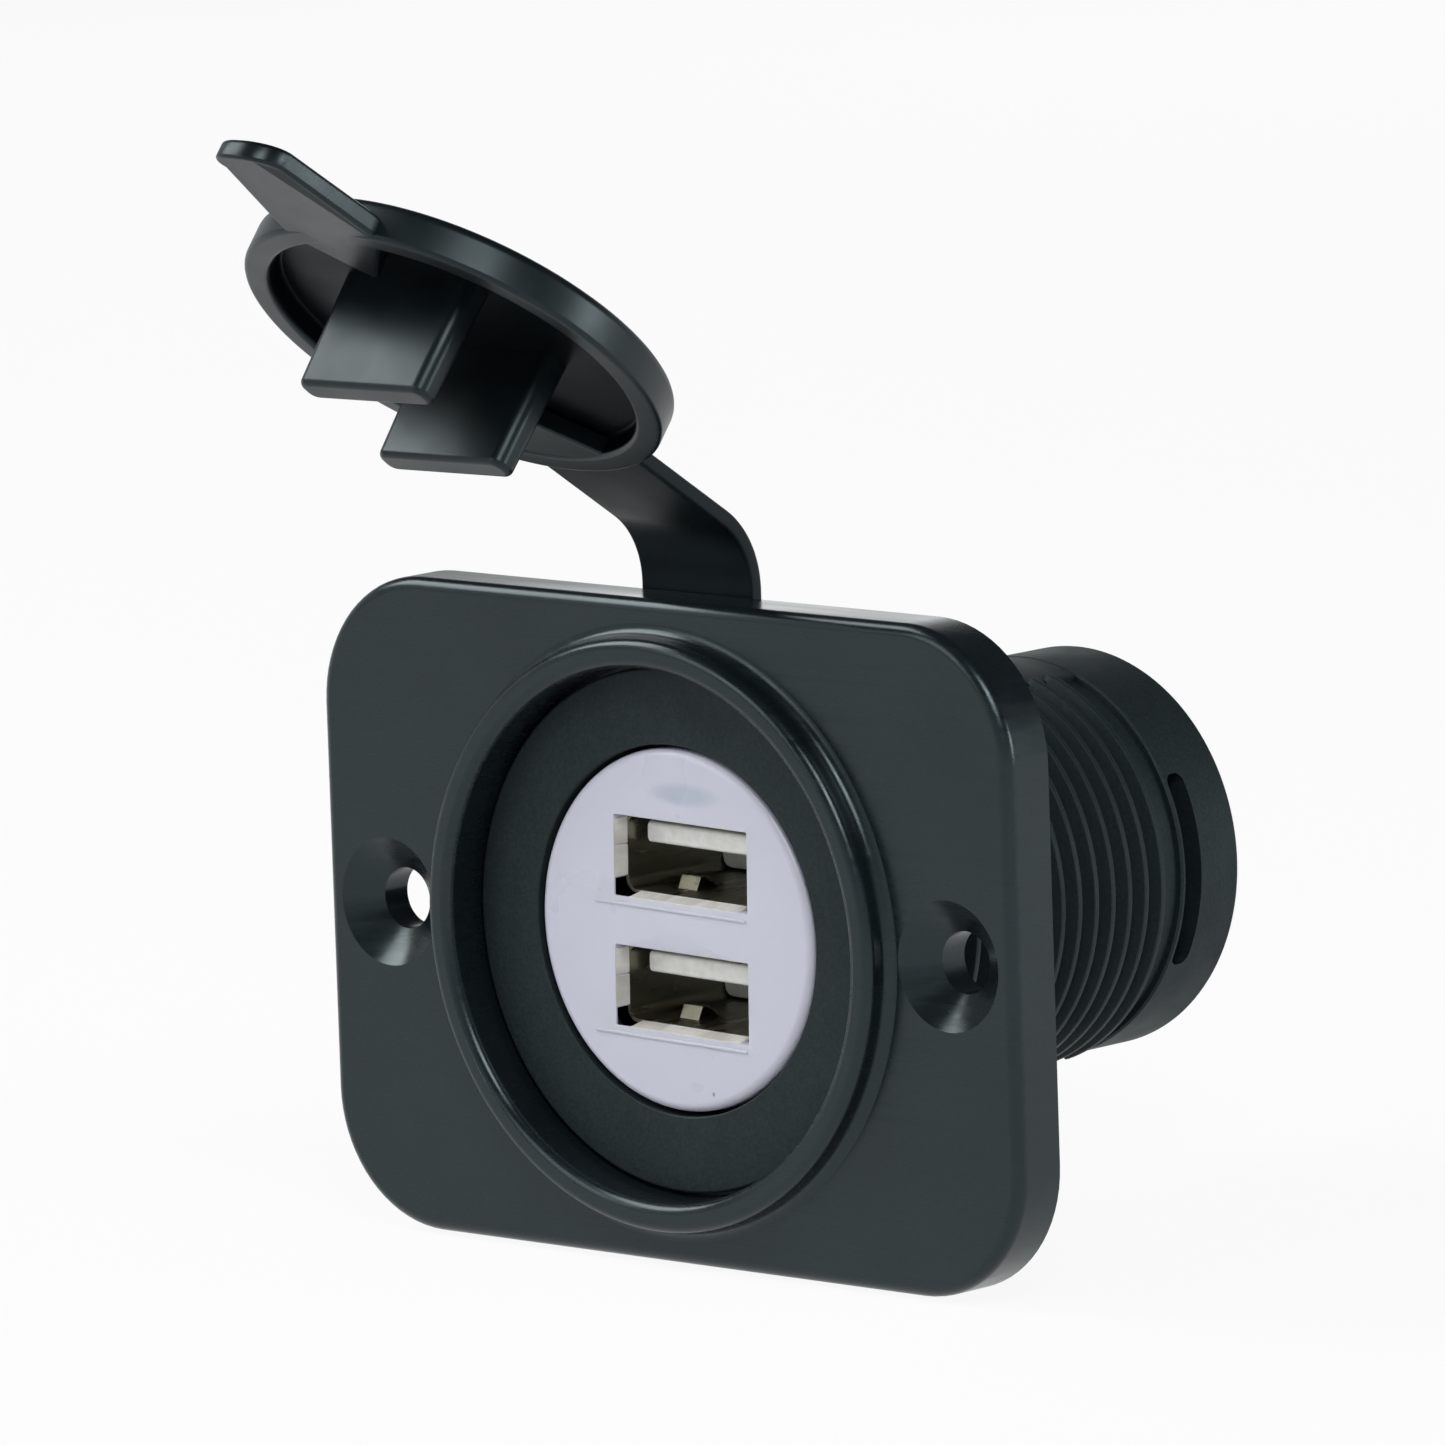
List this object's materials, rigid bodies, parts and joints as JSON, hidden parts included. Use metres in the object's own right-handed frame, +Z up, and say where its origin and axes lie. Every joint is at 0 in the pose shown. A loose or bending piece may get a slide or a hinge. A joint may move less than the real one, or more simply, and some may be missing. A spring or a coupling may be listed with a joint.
{
  "type": "dual usb panel socket",
  "caption": "Panel-mount power socket with stacked USB ports in a round white insert, a rectangular plate with screw holes, a threaded barrel, and a rubber flip cap on a strap.",
  "frame": {"origin": "on the socket's axis, in the plane of the mounting plate's back face", "axes": "+Y along the barrel, away from the user; the ports face -Y; +Z up; +X to the right as seen from the front"},
  "size_m": [0.065, 0.0923, 0.0841],
  "materials": {
    "plate_black": "satin, moulded",
    "body_black": "fine texture",
    "bezel_white": "translucent, milky",
    "nickel": "nickel plated",
    "tongue_white": "smooth",
    "contact_gold": "gold plated",
    "board_green": "solder mask",
    "ferrite": "sintered",
    "copper": "enamelled wire",
    "can_silver": "bright",
    "chip_black": "moulded",
    "led_clear": "clear",
    "brass": "bright",
    "rubber": "satin"
  },
  "bodies": {
    "socket": {"mounting_plate": "plate_black", "socket_body": "body_black", "port_bezel": "bezel_white", "usb_shell_upper": "nickel", "usb_shell_lower": "nickel", "usb_tongue_upper": "tongue_white", "usb_tongue_lower": "tongue_white", "contact_upper_1": "contact_gold", "contact_upper_2": "contact_gold", "contact_upper_3": "contact_gold", "contact_upper_4": "contact_gold", "contact_lower_1": "contact_gold", "contact_lower_2": "contact_gold", "contact_lower_3": "contact_gold", "contact_lower_4": "contact_gold", "port_board": "board_green", "converter_board": "board_green", "inductor_core": "ferrite", "inductor_winding": "copper", "input_capacitor": "can_silver", "output_capacitor": "can_silver", "controller_chip": "chip_black", "diode": "chip_black", "indicator_led": "led_clear", "rear_cap": "body_black", "terminal_positive": "brass", "terminal_negative": "brass", "strap_ring": "rubber"},
    "strap": {"cap_strap": "rubber"},
    "cap": {"flip_cap": "rubber"}
  },
  "joints": [
    {"name": "strap_bend", "type": "hinge", "parent": "socket", "child": "strap", "pos_m": [0, -0.00665, 0.02498], "axis": [1, 0, 0], "range_deg": [-44, 128.6], "stiffness_Nm_per_rad": 0.003, "springref_deg": -7.28, "deforming": ["cap_strap"]},
    {"name": "cap_press", "type": "slide", "parent": "strap", "child": "cap", "axis": [0, -0.6239, -0.7815], "range_m": [0, 0.0037], "stiffness_N_per_m": 150, "springref_m": -0.0003}
  ]
}
